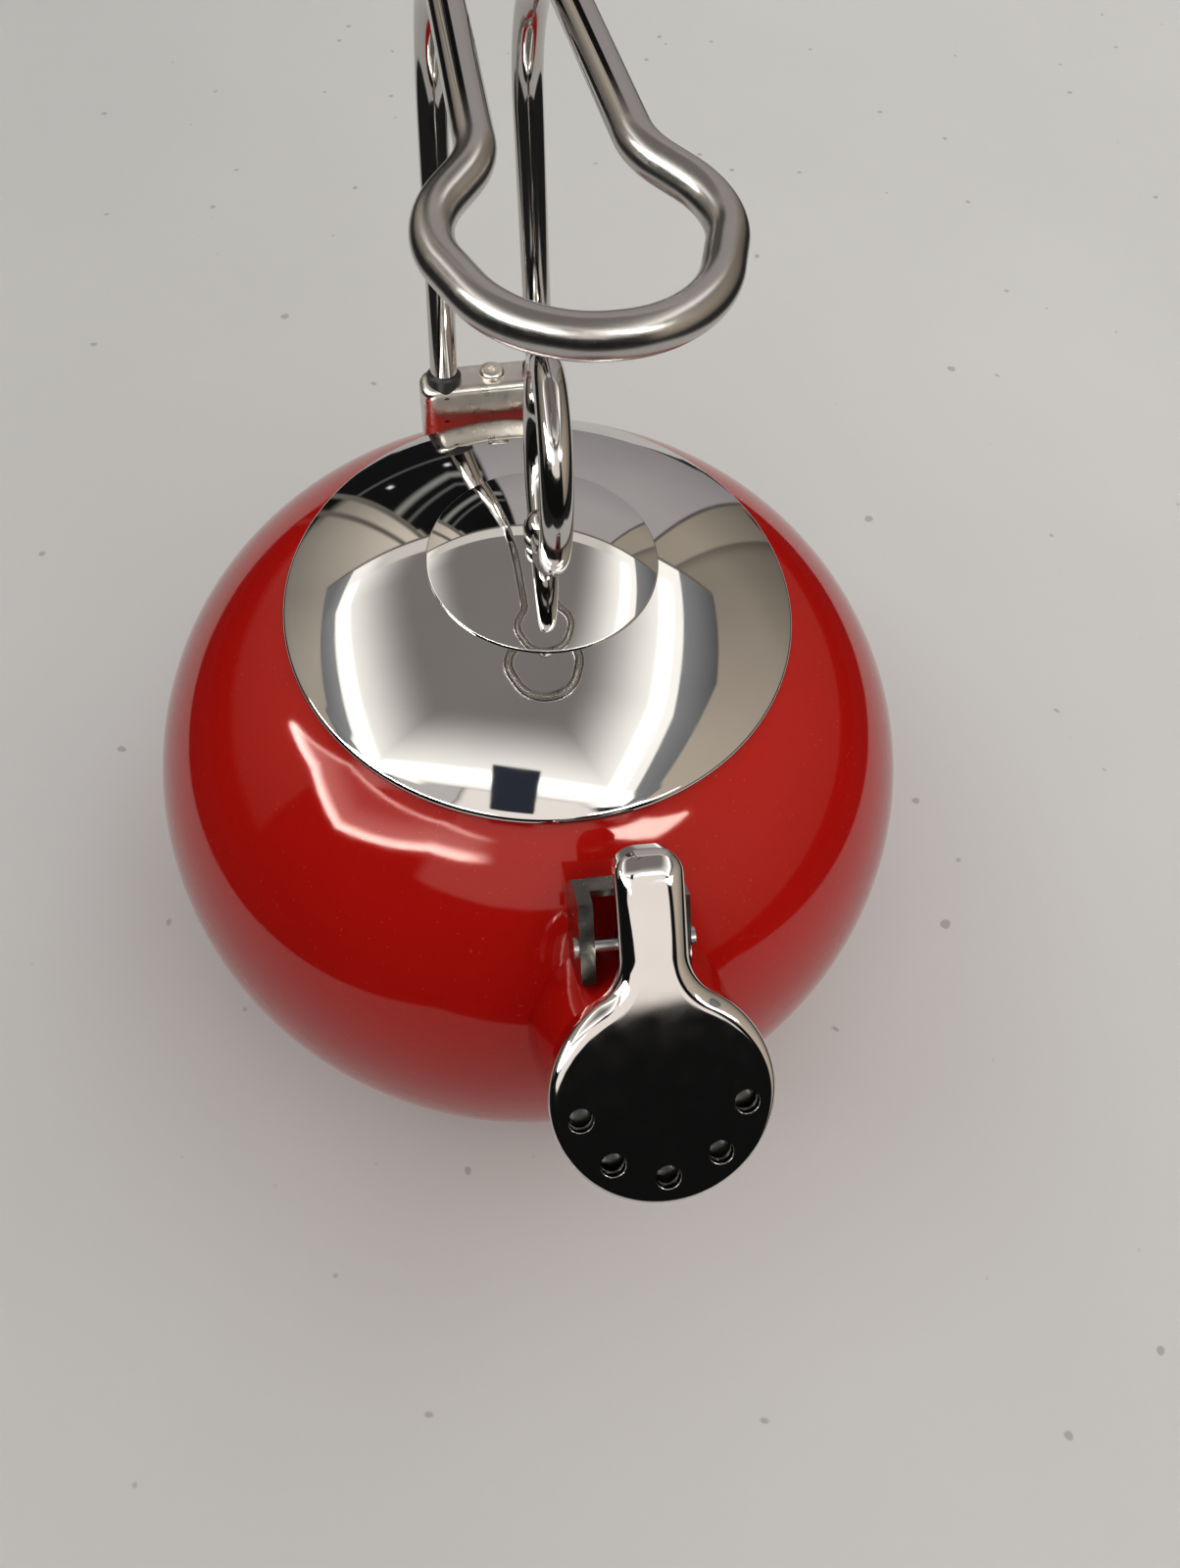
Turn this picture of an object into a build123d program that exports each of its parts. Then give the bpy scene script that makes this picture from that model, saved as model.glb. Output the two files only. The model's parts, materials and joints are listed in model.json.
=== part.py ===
from build123d import *
import os
from math import cos, radians, sin, sqrt

os.makedirs("parts", exist_ok=True)

# ---------------------------------------------------------------- driving dimensions (mm)
# The kettle stands on z = 0 on its own axis. The spout points to -Y, the handle socket is at +Y.
FIT = 0.05                 # radial clearance of pins and fitted parts

BELLY_RADIUS = 95.0        # enamelled body at its widest
BELT_HEIGHT = 57.0         # height of the widest belt
CROWN_RISE = 80.5          # half height of the rounded body
BELLY_POWER = 2.06         # 2 is an ellipse, a little more is fuller at the shoulders
SHELL_WALL = 1.2
PAN_LIP = 5.0              # where the base pan meets the body
PAN_INSET = 4.5            # how much narrower the flat foot is than the lip
PAN_BEND = 4.0
MOUTH_RADIUS = 45.8        # hole in the top of the body
MOUTH_RING_WALL = 1.2
MOUTH_RING_TOP = 130.6
MOUTH_RING_BOTTOM = 121.0
MOUTH_RING_BEND = 0.4

DOME_SPHERE = 106.0        # lid's crown curvature
DOME_TOP = 141.8
DOME_RADIUS = 55.7
DOME_WALL = 0.8
DOME_BEND = 0.7            # rounding of the dome's outer corner
DOME_RIM_BOTTOM = 124.6
SKIRT_RADIUS = 44.1
SKIRT_WALL = 1.0
SKIRT_BOTTOM = 115.0
CROWN_SPHERE = 64.0        # smaller domed disc on the lid
CROWN_RADIUS = 24.4
CROWN_STEP = 0.6
CROWN_BEND = 0.3

KNOB_RING_RADIUS = 18.15   # centre line of the knob's ring
KNOB_ROD_RADIUS = 3.1
KNOB_RING_HEIGHT = 166.3
KNOB_TURN = -6.0           # the lid lies turned a little in its mouth
KNOB_BALL_RADIUS = 4.3
STUD_RADIUS = 2.0
WASHER_DROP = 0.3          # a flat washer sits below the domed underside
STUD_BOTTOM = 134.0
WASHER_RADIUS = 6.0
WASHER_THICK = 1.0
NUT_RADIUS = 3.9           # across the corners of the hexagon
NUT_HEIGHT = 3.2

ROD_RADIUS = 3.175         # quarter-inch handle rod
SOCKET_POINT = (11.4, 63.4, 138.9)
REAR_CORNER = (8.6, 79.6, 227.6)
NECK_CORNER = (12.0, 0.4, 227.3)
SHOULDER_CORNER = (23.1, -12.1, 225.6)
NOSE_CORNER = (13.3, -37.5, 226.4)
ROD_BENDS = (30.0, 12.3, 14.1, 18.6)
ROD_INSERT = 15.0          # how far the rod goes into its socket

SOCKET_WIDTH = 35.0
SOCKET_DEPTH = 10.0
SOCKET_TOP = 133.6
SOCKET_Y = 62.6
SOCKET_CORNER = 4.2
COVER_WALL = 1.0
COVER_BEND = 2.2           # rounding of the cover's top edge
BUSHING_WALL = 0.9         # black sleeves where the rods enter the socket
BUSHING_RISE = 1.8
BUSHING_SEAT = 3.0         # how far a sleeve sits in the socket
BUSHING_CHAMFER = 0.4
GRUB_RADIUS = 1.5
GRUB_HEIGHT = 126.0
GRUB_TIP = 3.4             # how far behind the socket's middle a set screw starts
GRUB_LENGTH = 2.8
GRUB_HEX = 0.8
GRUB_HEX_FLOOR = 1.2
TOP_SCREW_RADIUS = 1.5
TOP_SCREW_LENGTH = 9.0
TOP_HEAD_RADIUS = 3.0
TOP_HEAD = 1.8
TOP_HEAD_BEND = 1.2
TOP_HEX = 1.1
TOP_HEX_FLOOR = 0.8
BOLT_RADIUS = 2.0
BOLT_X = 4.6
BOLT_LENGTH = 6.0
BOLT_HEAD_RADIUS = 3.4
BOLT_HEAD = 2.4
BOLT_HEAD_N = -3.6         # bottom of the head, along the shell's inner normal
SEAL_WASHER_RADIUS = 4.2
SEAL_WASHER_THICK = 0.8
SEAL_WASHER_N = -1.15

CAP_CENTRE = (1.2, -110.6, 120.3)
CAP_TILT = 51.3            # elevation of the cap's outward normal
CAP_TURN = -4.6            # the spout is brazed on slightly turned about the vertical
CAP_RADIUS = 20.8
CAP_FACE = 2.2
CAP_SKIRT = 6.0
CAP_SKIRT_WALL = 1.6
STEM_HALF = 6.3
STEM_TOP = 45.0            # how far the stem's hooked end reaches along the cap's face
STEM_CORNER = 4.6
STEM_ROOT = 9.0
HOOK_DROP = 7.6
VENT_RADIUS = 2.25
VENT_CIRCLE = 15.5
VENT_STEP = 40.0
CUP_RADIUS = 11.6
CUP_BOTTOM = -14.5
CUP_WALL = 0.8
SEAL_RADIUS = 17.0
SEAL_THICK = 1.25
PLATE_THICK = 0.8
PLATE_BORE = 2.2           # radius of the whistle's two holes
OUTER_PLATE_N = -5.0       # underside of the outer plate
INNER_PLATE_N = -8.6
PIN_U = 25.0
PIN_N = -14.0
PIN_RADIUS = 1.3
EAR_INNER = 3.6
EAR_WALL = 1.8
EAR_RADIUS = 3.1
BRACKET_SHIFT = -1.7       # the cap has side play and leans on the bracket's right cheek
CHEEK_INNER = 7.7
CHEEK_WALL = 2.8
PIN_HEAD_RADIUS = 2.1
PIN_HEAD = 0.9
NECK_RIM_RADIUS = 17.6
NECK_BASE_RADIUS = 21.6
NECK_WALL = 1.6
NECK_RIM_N = -6.4
NECK_BASE_N = -52.0
NECK_SWELL = 0.8           # how much the neck's side bulges
NECK_SWELL_SHIFT = 6.0     # and how far above its middle
RIM_LENGTH = 9.0           # polished ferrule in the end of the neck
RIM_WALL = 0.9
RIM_GAP = 0.3
COIL_PITCH = 0.85
COIL_LENGTH = 5.1
COIL_RADIUS = 2.2
COIL_WIRE = 0.32

# spout frame: X to the right, U up along the cap's face, N out of the cap's face
TILT = radians(CAP_TILT)
TURN = radians(CAP_TURN)
CAP_X = (cos(TURN), sin(TURN), 0)
CAP_NORMAL = (sin(TURN) * cos(TILT), -cos(TURN) * cos(TILT), sin(TILT))
CAP_PLANE = Plane(origin=CAP_CENTRE, x_dir=CAP_X, z_dir=CAP_NORMAL)
# side plane of the same frame: its X is U and its Y is N, and it extrudes along +X
SIDE_PLANE = Plane(origin=CAP_CENTRE, x_dir=CAP_PLANE.y_dir, z_dir=CAP_X)


# ---------------------------------------------------------------- helpers
def save(name, *solids):
    """Write the solids of one sub-part as one STEP file."""
    pieces = []
    for solid in solids:
        pieces.extend(solid.solids())
    part = pieces[0] if len(pieces) == 1 else Compound(pieces)
    export_step(part, os.path.join("parts", name + ".step"))


def turned(points):
    """Solid of revolution about Z from a closed polygon of (radius, height) points."""
    return revolve(Plane.XZ * make_face(Polyline(*points, close=True)), Axis.Z)


def ring(outer, inner, bottom, top):
    """Plain ring about Z."""
    return turned([(inner, bottom), (outer, bottom), (outer, top), (inner, top)])


def belly_radius(height, inset=0.0):
    """Radius of the rounded body at a height, inset from the outer skin."""
    share = abs(height - BELT_HEIGHT) / (CROWN_RISE - inset)
    return (BELLY_RADIUS - inset) * (1 - share**BELLY_POWER) ** (1 / BELLY_POWER)


def belly_height(radius, inset=0.0):
    """Height of the rounded body's upper half at a radius, inset from the outer skin."""
    share = radius / (BELLY_RADIUS - inset)
    return BELT_HEIGHT + (CROWN_RISE - inset) * (1 - share**BELLY_POWER) ** (1 / BELLY_POWER)


def dome_height(radius, sphere=DOME_SPHERE, top=DOME_TOP):
    """Height of a spherical cap that stands on the axis."""
    return top - sphere + sqrt(sphere**2 - radius**2)


def belly_points(inset, top_radius):
    """Points up the body's side, from the pan lip to the mouth."""
    heights = [PAN_LIP, 18.0, 34.0, BELT_HEIGHT, 78.0, 96.0, 108.0, 117.0]
    points = [(belly_radius(height, inset), height) for height in heights]
    for radius in (60.0, 53.0, top_radius):
        points.append((radius, belly_height(radius, inset)))
    return points


def hex_prism(radius, height):
    """Upright hexagonal prism from the origin."""
    return extrude(RegularPolygon(radius, 6), height)


def disc_at(n_low, n_high, radius):
    """Cylinder on the spout's axis between two levels of the spout frame."""
    return extrude(CAP_PLANE.offset(n_low) * Circle(radius), n_high - n_low)


def side_plate(points, x_low, x_high):
    """Plate parallel to the YZ plane from a polygon of (u, n) points."""
    face = SIDE_PLANE.offset(x_low) * make_face(Polyline(*points, close=True))
    return extrude(face, x_high - x_low)


def cross_pin(u, n, radius, x_low, x_high):
    """Cylinder parallel to X in the spout frame."""
    return extrude(SIDE_PLANE.offset(x_low) * Pos(u, n) * Circle(radius), x_high - x_low)


# ---------------------------------------------------------------- body
def body_skin(inset):
    """Closed solid of the rounded body, inset from its outer skin."""
    points = belly_points(inset, MOUTH_RADIUS)
    side = Spline(*points)
    top_point = (0, points[-1][1])
    outline = [side, Polyline(points[-1], top_point, (0, PAN_LIP), points[0])]
    return revolve(Plane.XZ * make_face(outline), Axis.Z)


def neck_cone(inset):
    """Solid cone of the spout neck, inset from its outer skin."""
    rim = NECK_RIM_RADIUS - inset
    base = NECK_BASE_RADIUS - inset
    waist_n = 0.5 * (NECK_RIM_N + NECK_BASE_N) + NECK_SWELL_SHIFT
    waist = 0.5 * (rim + base) + NECK_SWELL
    outline = [
        Polyline((base, NECK_BASE_N), (0, NECK_BASE_N), (0, NECK_RIM_N), (rim, NECK_RIM_N)),
        ThreePointArc((rim, NECK_RIM_N), (waist, waist_n), (base, NECK_BASE_N)),
    ]
    cone = revolve(Plane.XZ * make_face(outline), Axis.Z)
    return CAP_PLANE * cone


def body_shell(outer, inner, bore):
    """Lower and upper halves of the body, which meet at its widest belt."""
    shell = outer - inner
    mouth = Pos(0, 0, MOUTH_RING_TOP) * Cylinder(MOUTH_RADIUS, 40)
    shell = shell - mouth - bore
    for side in (-1, 1):
        shell = shell - extrude(bolt_place(side).offset(-3) * Circle(BOLT_RADIUS + FIT), 12)
    cut = Pos(0, 0, BELT_HEIGHT) * Box(
        3 * BELLY_RADIUS, 3 * BELLY_RADIUS, 2 * CROWN_RISE, align=(Align.CENTER, Align.CENTER, Align.MIN)
    )
    return shell - cut, shell & cut


def base_pan():
    lip = belly_radius(PAN_LIP)
    foot = lip - PAN_INSET
    wall = SHELL_WALL
    points = [(0, 0), (foot, 0), (lip, PAN_LIP), (lip - wall, PAN_LIP), (foot - wall / 2, wall), (0, wall)]
    face = make_face(Polyline(*points, close=True))
    foot_corner = [v for v in face.vertices() if v.X > foot - 0.01 and v.Y < 0.01]
    face = fillet(foot_corner, PAN_BEND)
    return revolve(Plane.XZ * face, Axis.Z)


def mouth_ring():
    inner = MOUTH_RADIUS - MOUTH_RING_WALL
    body = ring(MOUTH_RADIUS, inner, MOUTH_RING_BOTTOM, MOUTH_RING_TOP)
    return fillet(body.edges().group_by(Axis.Z)[-1], MOUTH_RING_BEND)


def spout_neck(outer, inner, belly):
    neck = outer - inner - belly
    return neck.solids().sort_by(Axis.Y)[0]


def spout_rim():
    """Polished ferrule pressed into the end of the neck."""
    outer = NECK_RIM_RADIUS - NECK_WALL - RIM_GAP
    sleeve = disc_at(NECK_RIM_N - RIM_LENGTH, NECK_RIM_N, outer)
    return sleeve - disc_at(NECK_RIM_N - RIM_LENGTH - 1, NECK_RIM_N + 1, outer - RIM_WALL)


# ---------------------------------------------------------------- lid
def lid_dome():
    rim_top = dome_height(DOME_RADIUS)
    inner_radius = DOME_RADIUS - DOME_WALL
    middle = 0.5 * DOME_RADIUS
    outer_arc = ThreePointArc((0, DOME_TOP), (middle, dome_height(middle)), (DOME_RADIUS, rim_top))
    under = DOME_TOP - DOME_WALL
    inner_arc = ThreePointArc(
        (0, under),
        (middle, dome_height(middle, DOME_SPHERE, under)),
        (inner_radius, dome_height(inner_radius, DOME_SPHERE, under)),
    )
    rim = Polyline(
        (DOME_RADIUS, rim_top),
        (DOME_RADIUS, DOME_RIM_BOTTOM),
        (inner_radius, DOME_RIM_BOTTOM),
        (inner_radius, dome_height(inner_radius, DOME_SPHERE, under)),
    )
    face = make_face([outer_arc, rim, inner_arc, Line((0, DOME_TOP), (0, under))])
    corner = face.vertices().filter_by(lambda v: v.X > DOME_RADIUS - 0.01 and v.Y > rim_top - 0.01)
    dome = revolve(Plane.XZ * fillet(corner, DOME_BEND), Axis.Z)
    return dome - Pos(0, 0, DOME_TOP) * Cylinder(STUD_RADIUS + FIT, 10)


def crown_disc():
    edge_low = dome_height(CROWN_RADIUS)
    edge_high = edge_low + CROWN_STEP
    crown_top = edge_high + CROWN_SPHERE - sqrt(CROWN_SPHERE**2 - CROWN_RADIUS**2)
    middle = 0.5 * CROWN_RADIUS
    top_arc = ThreePointArc(
        (0, crown_top),
        (middle, dome_height(middle, CROWN_SPHERE, crown_top)),
        (CROWN_RADIUS, edge_high),
    )
    low_arc = ThreePointArc((0, DOME_TOP), (middle, dome_height(middle)), (CROWN_RADIUS, edge_low))
    edge = Line((CROWN_RADIUS, edge_low), (CROWN_RADIUS, edge_high))
    face = make_face([top_arc, edge, low_arc, Line((0, DOME_TOP), (0, crown_top))])
    corner = face.vertices().filter_by(lambda v: v.X > CROWN_RADIUS - 0.01 and v.Y > edge_high - 0.01)
    disc = revolve(Plane.XZ * fillet(corner, CROWN_BEND), Axis.Z)
    return disc - Pos(0, 0, DOME_TOP) * Cylinder(STUD_RADIUS + FIT, 10), crown_top


def lid_skirt():
    inner = SKIRT_RADIUS - SKIRT_WALL
    under = DOME_TOP - DOME_WALL
    points = [
        (inner, SKIRT_BOTTOM),
        (SKIRT_RADIUS, SKIRT_BOTTOM),
        (SKIRT_RADIUS, dome_height(SKIRT_RADIUS, DOME_SPHERE, under)),
        (inner, dome_height(inner, DOME_SPHERE, under) - 0.01),
    ]
    return turned(points)


def knob_ring():
    hoop = Torus(KNOB_RING_RADIUS, KNOB_ROD_RADIUS)
    return Pos(0, 0, KNOB_RING_HEIGHT) * Rot(0, 0, KNOB_TURN) * Rot(0, 90, 0) * hoop


def knob_ball(hoop, crown_top):
    centre = KNOB_RING_HEIGHT - KNOB_RING_RADIUS
    ball = Pos(0, 0, centre) * Sphere(KNOB_BALL_RADIUS)
    below = Pos(0, 0, crown_top - 5) * Box(20, 20, 10)
    stud_hole = Pos(0, 0, crown_top) * Cylinder(STUD_RADIUS + FIT, 3)
    return (ball - hoop - below - stud_hole).solids().sort_by(SortBy.VOLUME)[-1]


def knob_fastening(crown_top):
    """Stud from the knob down through the lid, its washer and its nut."""
    washer_top = DOME_TOP - DOME_WALL - WASHER_DROP
    stud_top = KNOB_RING_HEIGHT - KNOB_RING_RADIUS - KNOB_ROD_RADIUS - FIT
    stud = Pos(0, 0, STUD_BOTTOM) * Cylinder(
        STUD_RADIUS, stud_top - STUD_BOTTOM, align=(Align.CENTER, Align.CENTER, Align.MIN)
    )
    washer_bottom = washer_top - WASHER_THICK
    washer = ring(WASHER_RADIUS, STUD_RADIUS + FIT, washer_bottom, washer_top)
    hexagon = RegularPolygon(NUT_RADIUS, 6) - Circle(STUD_RADIUS + FIT)
    nut = Pos(0, 0, washer_bottom - NUT_HEIGHT) * extrude(hexagon, NUT_HEIGHT)
    return stud, washer, nut


# ---------------------------------------------------------------- handle
def mirrored(point):
    return (-point[0], point[1], point[2])


def socket_end():
    """End of the rod inside its socket, straight on from the leg."""
    top = Vector(*REAR_CORNER)
    mouth = Vector(*SOCKET_POINT)
    leg = (top - mouth).normalized()
    end = mouth - leg * ROD_INSERT
    return (end.X, end.Y, end.Z), leg


def handle_rod(radius):
    end, leg = socket_end()
    right = [end, REAR_CORNER, NECK_CORNER, SHOULDER_CORNER, NOSE_CORNER]
    corners = right + [mirrored(point) for point in reversed(right)]
    bends = list(ROD_BENDS) + list(reversed(ROD_BENDS))
    path = FilletPolyline(*corners, radius=bends)
    section = Plane(origin=end, z_dir=leg) * Circle(radius)
    return sweep(section, path=path)


def leg_stub(radius, side, low, high):
    """Straight piece along one leg, between two distances from the rod's end in its socket."""
    end, leg = socket_end()
    if side < 0:
        end, leg = Vector(*mirrored(end)), Vector(-leg.X, leg.Y, leg.Z)
    start = Vector(*end) + leg * low
    return extrude(Plane(origin=start, z_dir=leg) * Circle(radius), high - low)


def socket_block(inset):
    """Upright block with rounded corners behind the lid."""
    outline = RectangleRounded(SOCKET_WIDTH - 2 * inset, SOCKET_DEPTH - 2 * inset, SOCKET_CORNER - inset)
    lowest = BELT_HEIGHT
    return extrude(Pos(0, SOCKET_Y, lowest) * outline, SOCKET_TOP - inset - lowest)


def topmost(shape):
    """The solid of a cut shape that lies highest."""
    return shape.solids().sort_by(Axis.Z)[-1]


def socket_cover(core, belly):
    block = socket_block(0)
    block = fillet(block.edges().group_by(Axis.Z)[-1], COVER_BEND)
    cover = block - core - belly
    for side in (-1, 1):
        cover = cover - leg_stub(ROD_RADIUS + BUSHING_WALL + FIT, side, 0, 40)
        cover = cover - grub_hole(side, 8 * FIT)
    return topmost(cover - top_screw_hole(4 * FIT))


def socket_core(block, belly):
    core = block - belly
    for side in (-1, 1):
        core = core - leg_stub(ROD_RADIUS + FIT, side, -0.5, 40)
        core = core - leg_stub(ROD_RADIUS + BUSHING_WALL + FIT, side, bushing_span()[0] - 0.1, 40)
        core = core - grub_hole(side, FIT) - socket_bolt(side, FIT)
    return topmost(core - top_screw_hole(FIT))


def bushing_span():
    """Distances from the rod's end to the bottom and top of its black sleeve."""
    end, leg = socket_end()
    mouth = (SOCKET_TOP - end[2]) / leg.Z
    return mouth - BUSHING_SEAT, mouth + BUSHING_RISE


def rod_bushings():
    low, high = bushing_span()
    sleeves = []
    for side in (-1, 1):
        sleeve = leg_stub(ROD_RADIUS + BUSHING_WALL, side, low, high)
        sleeve = chamfer(sleeve.edges().sort_by(Axis.Z)[-1], BUSHING_CHAMFER)
        sleeves.append(sleeve - leg_stub(ROD_RADIUS + FIT, side, low - 1, high + 1))
    return sleeves


def grub_place(side):
    """Location of the tip of a set screw, which points forward at a rod."""
    return Pos(side * SOCKET_POINT[0], SOCKET_Y + GRUB_TIP, GRUB_HEIGHT) * Rot(-90, 0, 0)


def grub_hole(side, clearance):
    """Hole for a set screw, out through the back of the socket."""
    return grub_place(side) * extrude(Circle(GRUB_RADIUS + clearance), 0.5 * SOCKET_DEPTH)


def grub_screws(rods):
    """Both set screws, with a hexagon socket in each."""
    screws = []
    for side in (-1, 1):
        body = grub_place(side) * extrude(Circle(GRUB_RADIUS), GRUB_LENGTH)
        drive = grub_place(side) * Pos(0, 0, GRUB_HEX_FLOOR) * hex_prism(GRUB_HEX, GRUB_LENGTH)
        screws.append((body - drive - rods).solids()[0])
    return screws


def top_screw_hole(clearance):
    """Hole for the screw through the top of the cover into the core."""
    bottom = SOCKET_TOP - TOP_SCREW_LENGTH - 1
    hole = extrude(Circle(TOP_SCREW_RADIUS + clearance), TOP_SCREW_LENGTH + 3)
    return Pos(0, SOCKET_Y, bottom) * hole


def socket_screw():
    """Domed screw with a hexagon socket, on the cover's top."""
    head = extrude(Circle(TOP_HEAD_RADIUS), TOP_HEAD)
    head = fillet(head.edges().group_by(Axis.Z)[-1], TOP_HEAD_BEND)
    shank = Pos(0, 0, -TOP_SCREW_LENGTH) * extrude(Circle(TOP_SCREW_RADIUS), TOP_SCREW_LENGTH + 0.5)
    drive = Pos(0, 0, TOP_HEX_FLOOR) * hex_prism(TOP_HEX, TOP_HEAD)
    return Pos(0, SOCKET_Y, SOCKET_TOP) * (head + shank - drive)


def bolt_place(side):
    """Location on the inner face of the shell under the socket, Z along the outward normal."""
    radius = SOCKET_Y - 2.4
    height = belly_height(radius, SHELL_WALL)
    rise = (height - BELT_HEIGHT) / CROWN_RISE**2
    run = radius / BELLY_RADIUS**2
    return Plane(origin=(side * BOLT_X, radius, height), x_dir=(1, 0, 0), z_dir=(0, run, rise))


def socket_bolt(side, clearance):
    """Shank of a bolt from the shell into the core."""
    shank = Circle(BOLT_RADIUS + clearance)
    return extrude(bolt_place(side).offset(-0.5) * shank, BOLT_LENGTH + clearance)


def socket_bolts():
    """Bolts from inside the body that hold the socket core, and their sealing washers."""
    bolts = []
    washers = []
    for side in (-1, 1):
        place = bolt_place(side)
        head = extrude(place.offset(BOLT_HEAD_N) * RegularPolygon(BOLT_HEAD_RADIUS, 6), BOLT_HEAD)
        bolts.append(head + extrude(place.offset(-2) * Circle(BOLT_RADIUS), BOLT_LENGTH + 1.5))
        washer = Circle(SEAL_WASHER_RADIUS) - Circle(BOLT_RADIUS + FIT)
        washers.append(extrude(place.offset(SEAL_WASHER_N) * washer, SEAL_WASHER_THICK))
    return bolts, washers


# ---------------------------------------------------------------- cap, whistle and hinge
def cap_outline():
    """Face of the cap: a disc with a straight stem and swept corners between them."""
    stem = Pos(0, STEM_TOP / 2) * Rectangle(2 * STEM_HALF, STEM_TOP)
    stem = fillet(stem.vertices().group_by(Axis.Y)[-1], STEM_CORNER)
    face = Circle(CAP_RADIUS) + stem
    inner = [v for v in face.vertices() if CAP_RADIUS / 2 < v.Y < CAP_RADIUS]
    return fillet(inner, STEM_ROOT)


def cap_profile():
    """Side section of the cap's plate and stem: a flat face that rises a little and hooks over."""
    top = STEM_TOP
    front = [(-25, 0), (18, 0), (top - 4.4, 0.6), (top - 0.8, -2.6), (top, -HOOK_DROP)]
    back = [
        (top - 3, -HOOK_DROP),
        (top - 3.6, -4.8),
        (top - 6, -2.8),
        (18, -CAP_FACE - 1.2),
        (10, -CAP_FACE),
        (-25, -CAP_FACE),
    ]
    profile = make_face(Polyline(*front, *back, close=True))
    bends = [v for v in profile.vertices() if v.X > top - 6.5 and v.Y > -HOOK_DROP + 2]
    return fillet(bends, 2.2)


def cap_casting():
    """Cap with its skirt, its lever, two ears on the hinge pin and five vents."""
    plan = extrude(CAP_PLANE.offset(-30) * cap_outline(), 40)
    plate = extrude(SIDE_PLANE.offset(-30) * cap_profile(), 60) & plan
    skirt = disc_at(-CAP_SKIRT, 0, CAP_RADIUS) - disc_at(-CAP_SKIRT - 1, 1, CAP_RADIUS - CAP_SKIRT_WALL)
    cap = plate + skirt
    web = [(CAP_RADIUS + 0.1, -3), (PIN_U + 6, -3), (PIN_U + 3, PIN_N), (PIN_U - 3, PIN_N)]
    for x_low in (EAR_INNER, -EAR_INNER - EAR_WALL):
        cap = cap + side_plate(web, x_low, x_low + EAR_WALL)
        cap = cap + cross_pin(PIN_U, PIN_N, EAR_RADIUS, x_low, x_low + EAR_WALL)
    for k in range(-2, 3):
        angle = radians(VENT_STEP * k)
        hole = Pos(VENT_CIRCLE * sin(angle), -VENT_CIRCLE * cos(angle)) * Circle(VENT_RADIUS)
        cap = cap - extrude(CAP_PLANE.offset(-4) * hole, 8)
    return cap - cross_pin(PIN_U, PIN_N, PIN_RADIUS + FIT, -9, 9)


def whistle_parts():
    """Plates with a centre hole and the cup between them that plugs the spout."""
    plate_radius = CAP_RADIUS - CAP_SKIRT_WALL - FIT
    bore = CUP_RADIUS - CUP_WALL
    passage = disc_at(CUP_BOTTOM, 0, PLATE_BORE)
    outer = disc_at(OUTER_PLATE_N, OUTER_PLATE_N + PLATE_THICK, plate_radius) - passage
    cup = disc_at(CUP_BOTTOM, OUTER_PLATE_N, CUP_RADIUS) - disc_at(CUP_BOTTOM - 1, OUTER_PLATE_N + 1, bore)
    inner = disc_at(INNER_PLATE_N, INNER_PLATE_N + PLATE_THICK, bore - FIT) - passage
    seal_top = OUTER_PLATE_N - FIT
    seal = disc_at(seal_top - SEAL_THICK, seal_top, SEAL_RADIUS)
    seal = seal - disc_at(seal_top - SEAL_THICK - 1, 0, CUP_RADIUS + FIT)
    return outer, cup, inner, seal


def hinge_bracket(neck, belly):
    """Folded bracket on the neck: two cheeks and the bridge that joins them behind the lever."""
    side = [
        (18.2, -12.2),
        (34.0, -10.8),
        (36.6, -20.0),
        (34.0, -29.0),
        (28.0, -46.0),
        (16.0, -46.0),
        (16.0, -20.0),
    ]
    outside = [(35.3, -15.4), (36.6, -20.6), (33.9, -29.0), (27.6, -46.0)]
    inside = [(26.0, -46.0), (32.4, -29.2), (35.0, -21.2), (33.9, -15.8)]
    left = BRACKET_SHIFT - CHEEK_INNER
    right = BRACKET_SHIFT + CHEEK_INNER
    bracket = side_plate(outside + inside, left, right)
    for x_low in (left - CHEEK_WALL, right):
        bracket = bracket + side_plate(side, x_low, x_low + CHEEK_WALL)
    bore = cross_pin(PIN_U, PIN_N, PIN_RADIUS + FIT, left - CHEEK_WALL - 1, right + CHEEK_WALL + 1)
    bracket = bracket - neck - belly - bore
    return bracket.solids().sort_by(SortBy.VOLUME)[-1]


def hinge_pin():
    """Riveted pin with a flat head beyond each cheek."""
    left = BRACKET_SHIFT - CHEEK_INNER - CHEEK_WALL - 0.1
    right = BRACKET_SHIFT + CHEEK_INNER + CHEEK_WALL + 0.1
    pin = cross_pin(PIN_U, PIN_N, PIN_RADIUS, left, right)
    for x_low in (left - PIN_HEAD, right):
        pin = pin + cross_pin(PIN_U, PIN_N, PIN_HEAD_RADIUS, x_low, x_low + PIN_HEAD)
    return pin


def return_spring():
    """Torsion spring on the pin, between the ears of the cap."""
    coil = Helix(pitch=COIL_PITCH, height=COIL_LENGTH, radius=COIL_RADIUS)
    wire = Plane(origin=coil @ 0, z_dir=coil % 0) * Circle(COIL_WIRE)
    spring = sweep(wire, path=coil, is_frenet=True)
    return SIDE_PLANE.offset(-COIL_LENGTH / 2) * Pos(PIN_U, PIN_N) * spring


# ---------------------------------------------------------------- build
belly = body_skin(0)
hollow = body_skin(SHELL_WALL)
neck_outer = neck_cone(0)
neck_inner = neck_cone(NECK_WALL)
lower, upper = body_shell(belly, hollow, neck_inner)
save("body_shell_lower", lower)
save("body_shell_upper", upper)
save("base_pan", base_pan())
save("mouth_ring", mouth_ring())
save("spout_neck", spout_neck(neck_outer, neck_inner, belly))
save("spout_rim", spout_rim())

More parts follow.
